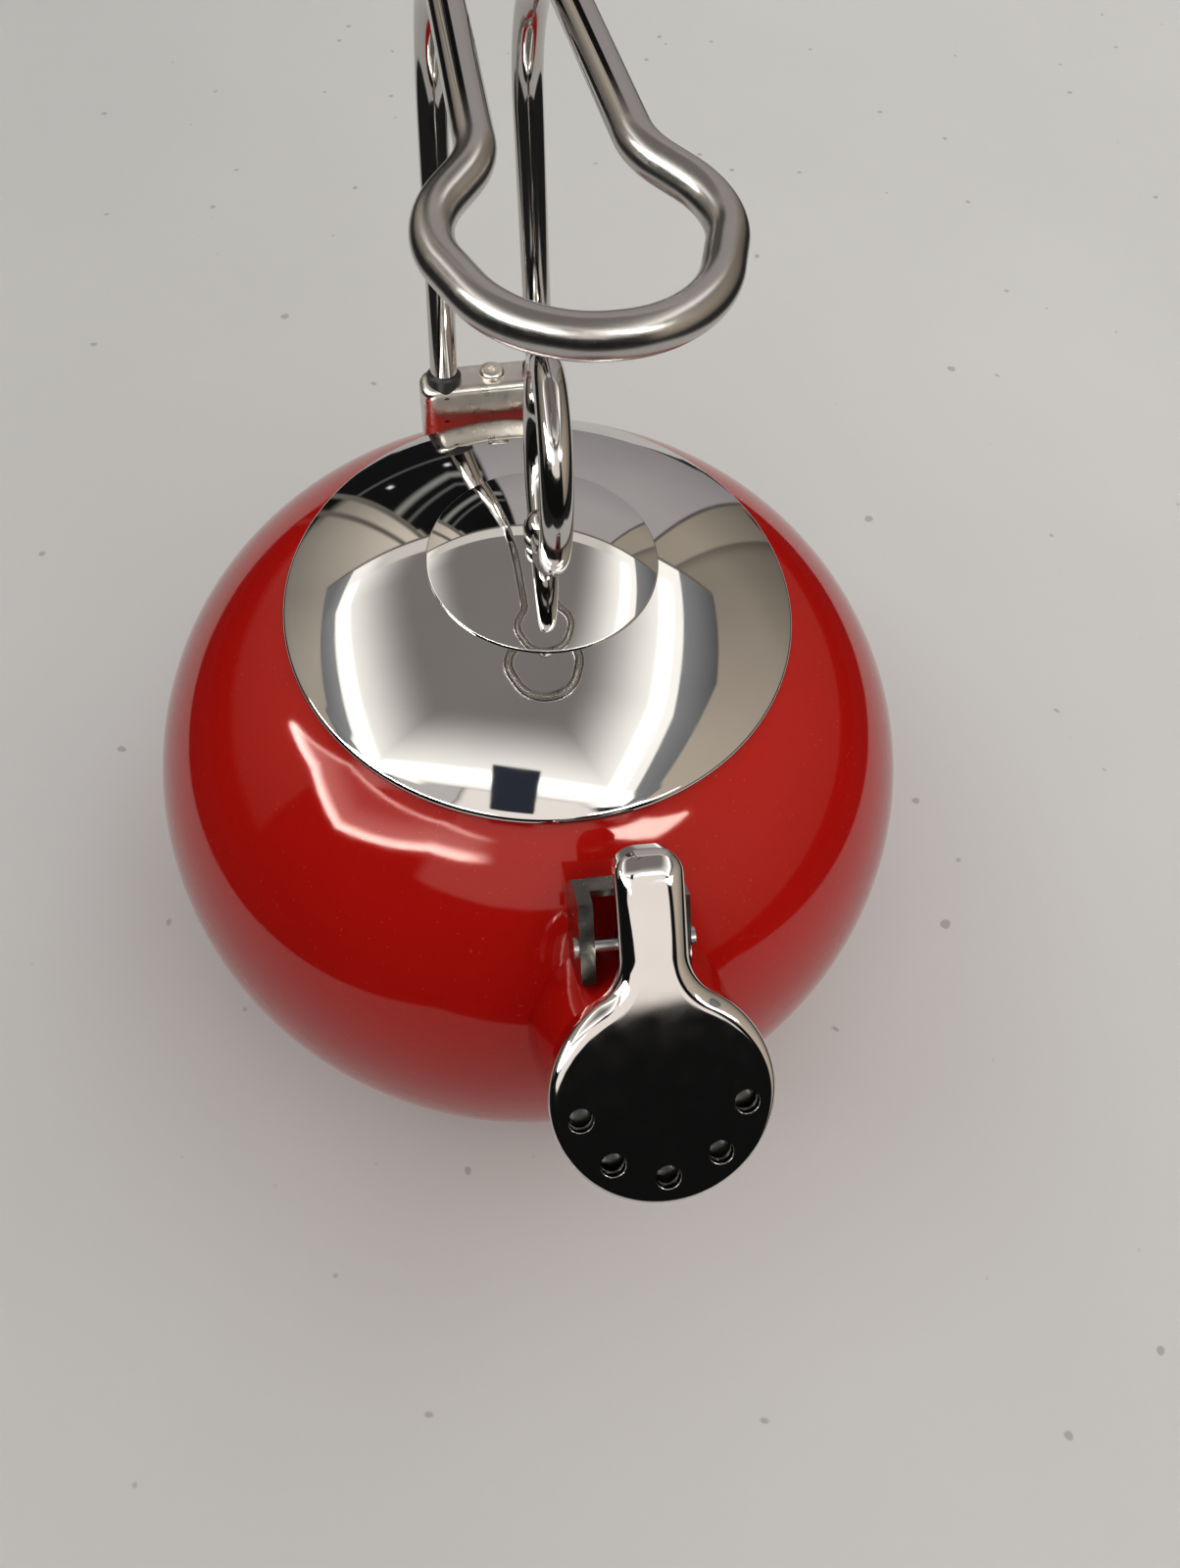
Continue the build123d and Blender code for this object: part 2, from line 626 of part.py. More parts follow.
disc, crown_height = crown_disc()
hoop = knob_ring()
stud, washer, nut = knob_fastening(crown_height)
save("lid_dome", lid_dome())
save("lid_crown_disc", disc)
save("lid_skirt", lid_skirt())
save("knob_ring", hoop)
save("knob_ball", knob_ball(hoop, crown_height) - stud)
save("knob_stud", stud)
save("knob_washer", washer)
save("knob_nut", nut)

rods = handle_rod(ROD_RADIUS)
inner_block = socket_block(COVER_WALL)
bolts, bolt_washers = socket_bolts()
save("handle_rod", rods)
save("socket_cover", socket_cover(inner_block, belly))
save("socket_core", socket_core(inner_block, belly))
save("rod_bushings", *rod_bushings())
save("rod_grub_screws", *grub_screws(rods))
save("socket_screw", socket_screw())
save("socket_bolts", *bolts)
save("bolt_washers", *bolt_washers)

outer_plate, cup, inner_plate, seal = whistle_parts()
save("spout_cap", cap_casting())
save("whistle_outer_plate", outer_plate)
save("whistle_cup", cup)
save("whistle_inner_plate", inner_plate)
save("cap_seal", seal)
save("hinge_bracket", hinge_bracket(neck_outer, belly))
save("hinge_pin", hinge_pin())
save("cap_spring", return_spring())
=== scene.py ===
import json
import math

import bmesh
import bpy
from mathutils import Matrix, Vector


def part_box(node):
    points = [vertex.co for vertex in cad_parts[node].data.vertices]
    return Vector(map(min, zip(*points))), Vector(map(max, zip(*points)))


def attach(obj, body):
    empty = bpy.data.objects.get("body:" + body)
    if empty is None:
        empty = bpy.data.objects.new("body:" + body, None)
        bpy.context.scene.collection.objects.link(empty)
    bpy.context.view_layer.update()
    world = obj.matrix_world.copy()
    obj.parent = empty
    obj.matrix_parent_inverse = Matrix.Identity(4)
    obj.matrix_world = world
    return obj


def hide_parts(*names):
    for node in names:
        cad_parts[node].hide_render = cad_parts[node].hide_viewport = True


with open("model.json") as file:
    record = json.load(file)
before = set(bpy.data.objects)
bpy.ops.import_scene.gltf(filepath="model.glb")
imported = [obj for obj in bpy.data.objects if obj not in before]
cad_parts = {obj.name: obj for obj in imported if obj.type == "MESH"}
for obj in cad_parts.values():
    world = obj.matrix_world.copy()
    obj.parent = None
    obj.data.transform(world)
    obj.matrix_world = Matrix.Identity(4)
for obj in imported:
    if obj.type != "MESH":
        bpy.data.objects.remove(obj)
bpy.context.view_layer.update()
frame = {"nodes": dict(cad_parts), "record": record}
NODES = frame["nodes"]
MM = 0.001

# ---------------------------------------------------------------- sizes that follow the frame
BODY_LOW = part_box("body_shell_lower")[0]
BODY_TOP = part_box("body_shell_upper")[1]
BELLY_RADIUS = BODY_TOP.x                      # widest belt
BELT_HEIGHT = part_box("body_shell_upper")[0].z
CROWN_RISE = 80.5 * MM                         # from the belt to where the curve would close
BELLY_POWER = 2.06                             # 2 would be an ellipse
SHELL = 1.2 * MM
MOUTH_RADIUS = 45.8 * MM
NECK_BORE = 17.6 * MM

DOME_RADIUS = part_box("lid_dome")[1].x
DOME_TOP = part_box("lid_dome")[1].z
DOME_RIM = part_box("lid_dome")[0].z
DOME_SPHERE = 106.0 * MM
DOME_WALL = 0.8 * MM
DOME_SHOULDER = 1.3 * MM
DOME_HEM = 0.35 * MM
CROWN_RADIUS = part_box("lid_crown_disc")[1].x
CROWN_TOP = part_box("lid_crown_disc")[1].z
CROWN_SPHERE = 64.0 * MM
CROWN_EDGE = 0.30 * MM
AXIS_GAP = 2.2 * MM                            # lathed outlines stop this far from the axis

RING_LOW, RING_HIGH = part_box("knob_ring")
RING_ROD = 3.1 * MM
RING_CENTRE = 0.5 * (RING_LOW.z + RING_HIGH.z)
RING_RADIUS = 0.5 * (RING_HIGH.z - RING_LOW.z) - RING_ROD
RING_TURN = math.radians(-6)
BALL_RADIUS = 4.3 * MM

ROD_RADIUS = 3.175 * MM
ROD_SUNK = 15 * MM                             # length of each leg inside the socket
ROD_RIGHT = [                                  # corners of the right half, in millimetres
    (11.4, 63.4, 138.9),
    (8.6, 79.6, 227.6),
    (12.0, 0.4, 227.3),
    (23.1, -12.1, 225.6),
    (13.3, -37.5, 226.4),
]
ROD_BENDS = [30.0, 12.3, 14.1, 18.6]           # bend radii at the corners, in millimetres

COVER_LOW, COVER_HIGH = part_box("socket_cover")
COVER_CORNER = 4.2 * MM
COVER_SOFT = 2.2 * MM                          # rounding of the top edge
COVER_UPRIGHT = 7.6 * MM                       # height of the face above its foot
COVER_LEAN = 0.06                              # slope of the face, back over up

# spout frame: x across, u up along the cap's face, n out of it
CAP_TILT = math.radians(51.3)
CAP_TURN = math.radians(-4.6)
CAP_CENTRE = Vector((1.2, -110.6, 120.3)) * MM
CAP_X = Vector((math.cos(CAP_TURN), math.sin(CAP_TURN), 0))
CAP_N = Vector((
    math.sin(CAP_TURN) * math.cos(CAP_TILT),
    -math.cos(CAP_TURN) * math.cos(CAP_TILT),
    math.sin(CAP_TILT),
))
CAP_U = CAP_N.cross(CAP_X)
CAP_RADIUS = 20.8


def spout_point(x, u, n):
    """Point of the spout frame, given in millimetres."""
    return CAP_CENTRE + (CAP_X * x + CAP_U * u + CAP_N * n) * MM


def belly_height(radius):
    share = radius / BELLY_RADIUS
    return BELT_HEIGHT + CROWN_RISE * (1 - share**BELLY_POWER) ** (1 / BELLY_POWER)


def belly_radius(height):
    share = abs(height - BELT_HEIGHT) / CROWN_RISE
    return BELLY_RADIUS * (1 - share**BELLY_POWER) ** (1 / BELLY_POWER)


# ---------------------------------------------------------------- mesh helpers
def smooth_share(value, low, high):
    """0 below low, 1 above high, smooth between."""
    share = min(1.0, max(0.0, (value - low) / (high - low)))
    return share * share * (3 - 2 * share)


def smoothed(mesh, sharp=None):
    """Smooth shading, with edges over the sharp angle kept crisp."""
    for polygon in mesh.polygons:
        polygon.use_smooth = True
    if sharp is not None:
        mesh.set_sharp_from_angle(angle=math.radians(sharp))


def mesh_object(name, points, faces, sharp=None):
    """Smooth shaded object from points and faces."""
    mesh = bpy.data.meshes.new(name)
    mesh.from_pydata([tuple(p) for p in points], [], faces)
    mesh.validate()
    smoothed(mesh, sharp)
    piece = bpy.data.objects.new(name, mesh)
    bpy.context.scene.collection.objects.link(piece)
    return piece


def outward(piece):
    """Turn all faces outwards."""
    work = bmesh.new()
    work.from_mesh(piece.data)
    bmesh.ops.remove_doubles(work, verts=work.verts, dist=1e-7)
    bmesh.ops.recalc_face_normals(work, faces=work.faces)
    work.to_mesh(piece.data)
    work.free()
    return piece


def bridge(rings, cap_ends=False):
    """Faces between closed rings of equal size, numbered one ring after another."""
    count = len(rings[0])
    faces = []
    for k in range(len(rings) - 1):
        for i in range(count):
            j = (i + 1) % count
            faces.append((k * count + i, k * count + j, (k + 1) * count + j, (k + 1) * count + i))
    if cap_ends:
        faces.append(tuple(range(count - 1, -1, -1)))
        faces.append(tuple((len(rings) - 1) * count + i for i in range(count)))
    return [p for ring in rings for p in ring], faces


def lathe(name, outline, segments=192, sharp=40):
    """Solid of revolution about Z from a closed outline of (radius, height) points."""
    rings = []
    for radius, height in outline + [outline[0]]:
        ring = []
        for i in range(segments):
            a = 2 * math.pi * i / segments
            ring.append(Vector((radius * math.cos(a), radius * math.sin(a), height)))
        rings.append(ring)
    points, faces = bridge(rings)
    return outward(mesh_object(name, points, faces, sharp=sharp))


def arc(centre, radius, start, end, count):
    """Points (x, y) on an arc, angles in degrees."""
    out = []
    for i in range(count + 1):
        a = math.radians(start + (end - start) * i / count)
        out.append((centre[0] + radius * math.cos(a), centre[1] + radius * math.sin(a)))
    return out


def rounded_path(corners, radii, step):
    """Points along straight runs joined by tangent arcs, with one radius for each inner corner."""
    out = [corners[0]]
    for k in range(1, len(corners) - 1):
        here = corners[k]
        back = (corners[k - 1] - here).normalized()
        on = (corners[k + 1] - here).normalized()
        turn = math.pi - back.angle(on)
        reach = radii[k - 1] * math.tan(turn / 2)
        first = here + back * reach
        centre = here + (back + on).normalized() * (radii[k - 1] / math.cos(turn / 2))
        spoke = first - centre
        axis = spoke.cross(here + on * reach - centre).normalized()
        count = max(6, int(radii[k - 1] * turn / step))
        out.append(first)
        for i in range(1, count + 1):
            out.append(centre + Matrix.Rotation(turn * i / count, 3, axis) @ spoke)
    out.append(corners[-1])
    dense = [out[0]]
    for a, b in zip(out, out[1:]):
        parts = max(1, int((b - a).length / step))
        dense.extend(a.lerp(b, i / parts) for i in range(1, parts + 1))
    return dense


def tube(name, path, radius, sides=48, closed=False):
    """Round tube along a path, with a frame that doesn't twist."""
    count = len(path)
    tangents = []
    for i in range(count):
        a = path[(i - 1) % count] if closed or i else path[0]
        b = path[(i + 1) % count] if closed or i < count - 1 else path[-1]
        tangents.append((b - a).normalized())
    side = tangents[0].orthogonal().normalized()
    rings = []
    for point, tangent in zip(path, tangents):
        side = (side - tangent * side.dot(tangent)).normalized()
        other = tangent.cross(side)
        ring = []
        for i in range(sides):
            a = 2 * math.pi * i / sides
            ring.append(point + (side * math.cos(a) + other * math.sin(a)) * radius)
        rings.append(ring)
    if closed:
        rings.append(rings[0])
    points, faces = bridge(rings, cap_ends=not closed)
    return outward(mesh_object(name, points, faces, sharp=50))


def cut_by(piece, cutters, sharp=50):
    """Piece with the cutters taken out of it; the cutters go away."""
    for cutter in cutters:
        cut = piece.modifiers.new(cutter.name, "BOOLEAN")
        cut.object = cutter
        cut.solver = "EXACT"
    bpy.context.view_layer.update()
    graph = bpy.context.evaluated_depsgraph_get()
    baked = bpy.data.meshes.new_from_object(piece.evaluated_get(graph))
    piece.modifiers.clear()
    piece.data = baked
    for cutter in cutters:
        bpy.data.objects.remove(cutter)
    smoothed(baked, sharp)
    return piece


# ---------------------------------------------------------------- material helpers
def new_material(name):
    """A material, its node tree and its Principled shader."""
    material = bpy.data.materials.new(name)
    material.use_nodes = True
    tree = material.node_tree
    return material, tree, tree.nodes["Principled BSDF"]


def node(tree, kind, inputs=None, **settings):
    """New node with its inputs linked or set, and its settings."""
    made = tree.nodes.new(kind)
    for key, value in settings.items():
        setattr(made, key, value)
    for key, value in (inputs or {}).items():
        if hasattr(value, "is_output"):
            tree.links.new(value, made.inputs[key])
        else:
            made.inputs[key].default_value = value
    return made


def noise(tree, scale, detail=2.0):
    """Noise value over the object's own coordinates."""
    place = node(tree, "ShaderNodeTexCoord").outputs["Object"]
    inputs = {"Vector": place, "Scale": scale, "Detail": detail}
    return node(tree, "ShaderNodeTexNoise", inputs).outputs["Fac"]


def ramp(tree, value, low, high, out_low, out_high):
    """Value carried in a straight line from low..high to out_low..out_high, clamped."""
    inputs = {
        "Value": value,
        "From Min": low,
        "From Max": high,
        "To Min": out_low,
        "To Max": out_high,
    }
    return node(tree, "ShaderNodeMapRange", inputs).outputs["Result"]


def mix_colour(tree, factor, first, second):
    """First colour at factor 0, second at factor 1."""
    made = tree.nodes.new("ShaderNodeMix")
    made.data_type = "RGBA"
    tree.links.new(factor, made.inputs[0])
    for index, colour in ((6, first), (7, second)):   # the Mix node's two colour inputs
        if hasattr(colour, "is_output"):
            tree.links.new(colour, made.inputs[index])
        else:
            made.inputs[index].default_value = (*colour, 1)
    return made.outputs[2]


def bump(tree, shader, height, strength, distance):
    """Relief from a height value, with its depth in metres."""
    inputs = {"Height": height, "Strength": strength, "Distance": distance}
    made = node(tree, "ShaderNodeBump", inputs)
    tree.links.new(made.outputs[0], shader.inputs["Normal"])


def steel(name, colour, roughness, wave=0.0, spots=0.0):
    """Steel: tint that wanders a little, uneven roughness, faint waviness and dark pits."""
    material, tree, shader = new_material(name)
    shader.inputs["Metallic"].default_value = 1.0
    shader.inputs["IOR"].default_value = 2.5
    wander = noise(tree, 38.0, 3.0)
    darker = tuple(0.93 * c for c in colour)
    tint = mix_colour(tree, ramp(tree, wander, 0.35, 0.65, 0, 1), darker, colour)
    if spots:
        pits = ramp(tree, noise(tree, 900.0, 1.0), 0.70, 0.74, 0, spots)
        tint = mix_colour(tree, pits, tint, tuple(0.35 * c for c in colour))
    tree.links.new(tint, shader.inputs["Base Color"])
    fine = noise(tree, 260.0, 4.0)
    uneven = ramp(tree, fine, 0.3, 0.7, 0.75 * roughness, 1.35 * roughness)
    tree.links.new(uneven, shader.inputs["Roughness"])
    if wave:
        bump(tree, shader, noise(tree, 55.0, 2.0), wave, 0.4 * MM)
    return material


def rod_steel():
    """Drawn rod: satin on the grip's loop, where it is worn, and bright on the legs behind it."""
    material, tree, shader = new_material("drawn_rod_steel")
    shader.inputs["Metallic"].default_value = 1.0
    wander = ramp(tree, noise(tree, 30.0, 4.0), 0.35, 0.65, 0, 1)
    tint = mix_colour(tree, wander, (0.49, 0.47, 0.45), (0.53, 0.51, 0.49))
    tree.links.new(tint, shader.inputs["Base Color"])
    place = node(tree, "ShaderNodeTexCoord").outputs["Object"]
    along = node(tree, "ShaderNodeSeparateXYZ", {"Vector": place}).outputs["Y"]
    satin = ramp(tree, along, 16 * MM, 2 * MM, 0.08, 0.25)
    fine = ramp(tree, noise(tree, 160.0, 2.0), 0.3, 0.7, 0.95, 1.05)
    product = node(tree, "ShaderNodeMath", {0: satin, 1: fine}, operation="MULTIPLY")
    tree.links.new(product.outputs[0], shader.inputs["Roughness"])
    return material


def enamel():
    """Glossy vitreous enamel: deep red with cloudy depth, fine dust and a faint orange peel."""
    material, tree, shader = new_material("red_enamel")
    cloud = ramp(tree, noise(tree, 14.0, 3.0), 0.3, 0.7, 0, 1)
    red = mix_colour(tree, cloud, (0.43, 0.0062, 0.0044), (0.48, 0.0080, 0.0054))
    dust = ramp(tree, noise(tree, 1500.0, 0.0), 0.80, 0.83, 0, 0.35)
    tree.links.new(mix_colour(tree, dust, red, (0.62, 0.10, 0.08)), shader.inputs["Base Color"])
    uneven = ramp(tree, noise(tree, 320.0, 3.0), 0.3, 0.7, 0.045, 0.075)
    tree.links.new(uneven, shader.inputs["Roughness"])
    shader.inputs["IOR"].default_value = 1.5
    shader.inputs["Specular IOR Level"].default_value = 0.52
    shader.inputs["Specular Tint"].default_value = (1.0, 0.66, 0.60, 1)
    bump(tree, shader, noise(tree, 210.0, 2.0), 0.012, 0.6 * MM)
    return material


def plain(name, colour, roughness):
    """Plastic or silicone with a fine grain."""
    material, tree, shader = new_material(name)
    grain = noise(tree, 400.0, 3.0)
    darker = tuple(0.85 * c for c in colour)
    tint = mix_colour(tree, ramp(tree, grain, 0.3, 0.7, 0, 1), darker, colour)
    tree.links.new(tint, shader.inputs["Base Color"])
    uneven = ramp(tree, grain, 0.3, 0.7, 0.9 * roughness, 1.1 * roughness)
    tree.links.new(uneven, shader.inputs["Roughness"])
    bump(tree, shader, grain, 0.15, 0.2 * MM)
    return material


MATERIALS = {
    "enamel_red": enamel(),
    "polished_lid_steel": steel("mirror_lid_steel", (0.70, 0.69, 0.675), 0.035, wave=0.015),
    "polished_knob_steel": steel("mirror_knob_steel", (0.58, 0.56, 0.54), 0.09, wave=0.01),
    "polished_handle_rod": rod_steel(),
    "polished_cap": steel("plated_casting", (0.70, 0.68, 0.655), 0.045, wave=0.03),
    "polished_cover": steel("plated_pressing", (0.80, 0.76, 0.70), 0.30, wave=0.002),
    "plain_steel": steel("plain_steel", (0.52, 0.52, 0.52), 0.25),
    "sheet_steel": steel("cut_sheet_steel", (0.24, 0.24, 0.22), 0.22, wave=0.02, spots=0.2),
    "black_sleeve": plain("black_plastic", (0.02, 0.02, 0.02), 0.45),
    "silicone_seal": plain("silicone", (0.62, 0.60, 0.57), 0.4),
    "shaded_steel": steel("shaded_steel", (0.10, 0.10, 0.095), 0.3),
    "spring_steel": steel("spring_wire", (0.42, 0.42, 0.43), 0.2),
}


def dress(piece, slot, body, *replaced):
    """Give a piece its finish, its body and the CAD nodes that it stands for."""
    piece.data.materials.clear()
    piece.data.materials.append(MATERIALS[slot])
    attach(piece, body)
    if replaced:
        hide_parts(*replaced)
    return piece


# ---------------------------------------------------------------- body
def body():
    """The enamelled shell as one smooth skin with its wall, cut open for the spout."""
    lip = BODY_LOW.z
    rows = 32
    outer = []
    for i in range(rows + 1):
        height = lip + (BELT_HEIGHT - lip) * i / rows
        outer.append((belly_radius(height), height))
    rows = 70
    for i in range(1, rows + 1):
        a = 0.5 * math.pi * i / rows
        radius = BELLY_RADIUS - (BELLY_RADIUS - MOUTH_RADIUS) * (1 - math.cos(a))
        outer.append((radius, belly_height(radius)))
    inner = []
    for radius, height in outer:
        out = radius / BELLY_RADIUS**2
        up = (height - BELT_HEIGHT) / CROWN_RISE**2
        length = math.hypot(out, up)
        inner.append((radius - SHELL * out / length, height - SHELL * up / length))
    inner[0] = (inner[0][0], lip)
    piece = lathe("body", outer + inner[::-1], segments=256, sharp=60)
    bore = tube("bore", [spout_point(0, 0, -60), spout_point(0, 0, 10)], NECK_BORE, sides=96)
    cut_by(piece, [bore], sharp=60)
    return dress(piece, "enamel_red", "kettle", "body_shell_lower", "body_shell_upper")


body()


# ---------------------------------------------------------------- lid and knob
def dome_height(radius, top=DOME_TOP, sphere=DOME_SPHERE):
    return top - sphere + math.sqrt(sphere**2 - radius**2)


def lid_dome():
    """Domed lid with a small rounded shoulder and a hemmed lower edge."""
    edge = DOME_RADIUS - 0.9 * MM
    rows = 60
    outline = [(AXIS_GAP, dome_height(AXIS_GAP))]
    outline += [(edge * i / rows, dome_height(edge * i / rows)) for i in range(3, rows)]
    slope = math.degrees(math.asin(edge / DOME_SPHERE))
    top = dome_height(edge)
    shoulder = (DOME_RADIUS - DOME_SHOULDER, top - 1.25 * MM)
    outline += arc(shoulder, DOME_SHOULDER, 90 - slope, 0, 10)
    outline += arc((DOME_RADIUS - DOME_HEM, DOME_RIM + DOME_HEM), DOME_HEM, 0, -180, 8)
    inner = DOME_RADIUS - DOME_WALL
    low = DOME_TOP - DOME_WALL
    outline.append((inner - 0.1 * MM, top - 2.2 * MM))
    rows = 20
    outline += [(inner * i / rows, dome_height(inner * i / rows, low)) for i in range(rows - 1, 0, -1)]
    outline.append((AXIS_GAP, low))
    shell = lathe("lid_dome_shell", outline, segments=256)
    return dress(shell, "polished_lid_steel", "lid", "lid_dome")


def crown_disc():
    """Small domed disc under the knob with a thin rounded edge."""
    edge_low = dome_height(CROWN_RADIUS)
    edge_high = dome_height(CROWN_RADIUS, CROWN_TOP, CROWN_SPHERE)
    inner = CROWN_RADIUS - CROWN_EDGE
    rows = 60
    outline = [(AXIS_GAP, CROWN_TOP)]
    for i in range(2, rows + 1):
        radius = inner * i / rows
        outline.append((radius, dome_height(radius, CROWN_TOP, CROWN_SPHERE)))
    outline += arc((inner, edge_high - 0.2 * MM), CROWN_EDGE, 62, 0, 6)
    middle = 0.5 * CROWN_RADIUS
    outline += [(CROWN_RADIUS, edge_low), (middle, dome_height(middle)), (AXIS_GAP, DOME_TOP)]
    crown = lathe("lid_crown", outline)
    return dress(crown, "polished_lid_steel", "lid", "lid_crown_disc")


def knob():
    """Ring of round rod on a ball that stands on the lid."""
    turn = Matrix.Rotation(RING_TURN, 3, "Z")
    middle = Vector((0, 0, RING_CENTRE))
    steps = 160
    path = []
    for i in range(steps):
        a = 2 * math.pi * i / steps
        path.append(turn @ Vector((0, RING_RADIUS * math.sin(a), RING_RADIUS * math.cos(a))) + middle)
    hoop = tube("knob_hoop", path, RING_ROD, sides=56, closed=True)
    dress(hoop, "polished_knob_steel", "lid", "knob_ring")
    centre = RING_CENTRE - RING_RADIUS
    foot = CROWN_TOP
    axis = 0.5 * MM
    outline = [(axis, centre + BALL_RADIUS)]
    outline += [(max(x, axis), z) for x, z in arc((0, centre), BALL_RADIUS, 86, -40, 22)]
    outline += [(3.6 * MM, foot + 0.4 * MM), (4.1 * MM, foot), (axis, foot - 0.2 * MM)]
    dress(lathe("knob_foot", outline, segments=72), "polished_knob_steel", "lid", "knob_ball")


lid_dome()
crown_disc()
knob()


# ---------------------------------------------------------------- handle and its socket
def handle():
    """One bent rod: up from the socket, forward along the grip, round its loop and back."""
    right = [Vector(p) * MM for p in ROD_RIGHT]
    leg = (right[1] - right[0]).normalized()
    right[0] = right[0] - leg * ROD_SUNK
    left = [Vector((-p.x, p.y, p.z)) for p in reversed(right)]
    bends = [r * MM for r in ROD_BENDS + ROD_BENDS[::-1]]
    path = rounded_path(right + left, bends, 0.7 * MM)
    rod = tube("handle_bent_rod", path, ROD_RADIUS, sides=56)
    return dress(rod, "polished_handle_rod", "kettle", "handle_rod")


def rounded_loop(half_x, half_y, corner, count=10):
    """Closed loop (x, y) of a rectangle with rounded corners."""
    out = []
    for sx, sy, start in ((1, 1, 0), (-1, 1, 90), (-1, -1, 180), (1, -1, 270)):
        centre = (sx * (half_x - corner), sy * (half_y - corner))
        out += arc(centre, corner, start, start + 90, count)
    return out


def socket():
    """Pressed cover over the handle's socket: rounded ends, a nearly upright face, a foot on the body."""
    half_x = 0.5 * (COVER_HIGH.x - COVER_LOW.x)
    half_y = 0.5 * (COVER_HIGH.y - COVER_LOW.y)
    middle_y = 0.5 * (COVER_HIGH.y + COVER_LOW.y)
    levels = []                                # (how far in, how far down) from the box's top
    for k in range(9):
        a = 0.5 * math.pi * k / 8
        levels.append((COVER_SOFT * (1 - math.sin(a)), COVER_SOFT * (1 - math.cos(a))))
    levels += [(0.0, COVER_SOFT + (COVER_UPRIGHT - COVER_SOFT) * k / 14) for k in range(1, 17)]
    rings = []
    for inset, drop in levels:
        height = COVER_HIGH.z - drop
        front = COVER_LOW.y + COVER_LEAN * max(0.0, COVER_UPRIGHT - drop)
        ring = []
        for x, y in rounded_loop(half_x - inset, half_y - inset, COVER_CORNER - 0.9 * inset):
            gap = middle_y + y - front
            y = front + 0.5 * (gap + math.hypot(gap, 0.2 * MM))
            ring.append(Vector((x, min(y, COVER_HIGH.y - inset), height)))
        rings.append(ring)
    last = rings[-1]
    for share in (0.3, 0.6, 1.0):
        ring = []
        for p in last:
            foot = belly_height(math.hypot(p.x, p.y)) - 0.5 * MM
            ring.append(Vector((p.x, p.y, p.z + (foot - p.z) * share)))
        rings.append(ring)
    points, faces = bridge(rings, cap_ends=True)
    shell = outward(mesh_object("socket_cover_shell", points, faces, sharp=50))
    return dress(shell, "polished_cover", "kettle", "socket_cover")


handle()
socket()


# ---------------------------------------------------------------- whistle cap
# All of these are millimetres in the spout frame: x across, u up the lever, n out of the face.
STEM_HALF = 6.3                # half the lever's width
STEM_TOP = 45.0
TIP_CORNER = 4.6
ROOT = 9.0                     # fillet between disc and lever
SKIRT_WALL = 1.6
PIN_U = 25.0
PIN_N = -14.0
EAR_RADIUS = 3.1
EAR_THICK = 1.8
VENT_CIRCLE = 15.5
VENT_RADIUS = 2.25
VENT_STEP = math.radians(40)


def cap_loop(inset):
    """Right half of the cap's plan in (x, u), from its lowest point up to the corner of the lever's tip."""
    root_x = STEM_HALF + ROOT
    root_u = math.sqrt((CAP_RADIUS + ROOT) ** 2 - root_x**2)
    meet = math.degrees(math.atan2(root_u, root_x))
    half = arc((0, 0), CAP_RADIUS - inset, -90, meet, 90)
    half += arc((root_x, root_u), ROOT + inset, meet - 180, -180, 24)[1:]
    tip_u = STEM_TOP - TIP_CORNER
    rows = 60
    half += [(STEM_HALF - inset, root_u + (tip_u - root_u) * i / rows) for i in range(1, rows + 1)]
    half += arc((STEM_HALF - TIP_CORNER, tip_u), TIP_CORNER - inset, 0, 90, 16)[1:]
    return half


def cap_front(u):
    """Level of the cap's face: flat along the disc and lever, bent over softly at the lever's tip."""
    bend = 0.5 * (u - 42.0 + math.hypot(u - 42.0, 5.0))
    return 0.2 * smooth_share(u, 22, 38) - 0.50 * bend


def cap_round(u):
    """How far in the edge's rounding reaches: crisp on the disc, wide on the lever."""
    return 1.3 + 2.3 * smooth_share(u, -2, 21)


def cap_drop(inset, u):
    """How far the rounded edge lies below the face, this far in from the outline."""
    reach = cap_round(u)
    left = max(0.0, reach - inset)
    depth = 0.72 * reach
    return depth * (1 - math.sqrt(max(0.0, 1 - (left / reach) ** 2)))


def cap_foot(u):
    """Level of the lower edge: deep skirt round the disc, thin lever, hooked tip."""
    lever = -6.0 + 2.2 * smooth_share(u, 13, 20)
    return lever - 3.8 * smooth_share(u, 40, 42.5)


def cap_under(u):
    """Level of the hollow's ceiling."""
    return -2.3 - 1.2 * smooth_share(u, 10, 18) - 1.6 * smooth_share(u, 39, 42)


def mirrored_loop(half, columns):
    """Whole loop from a right half: up the right, across the tip and down the left."""
    x, top = half[-1]
    across = [(x * (1 - 2 * i / columns), top) for i in range(1, columns)]
    return half + across + [(-px, u) for px, u in reversed(half[1:])]


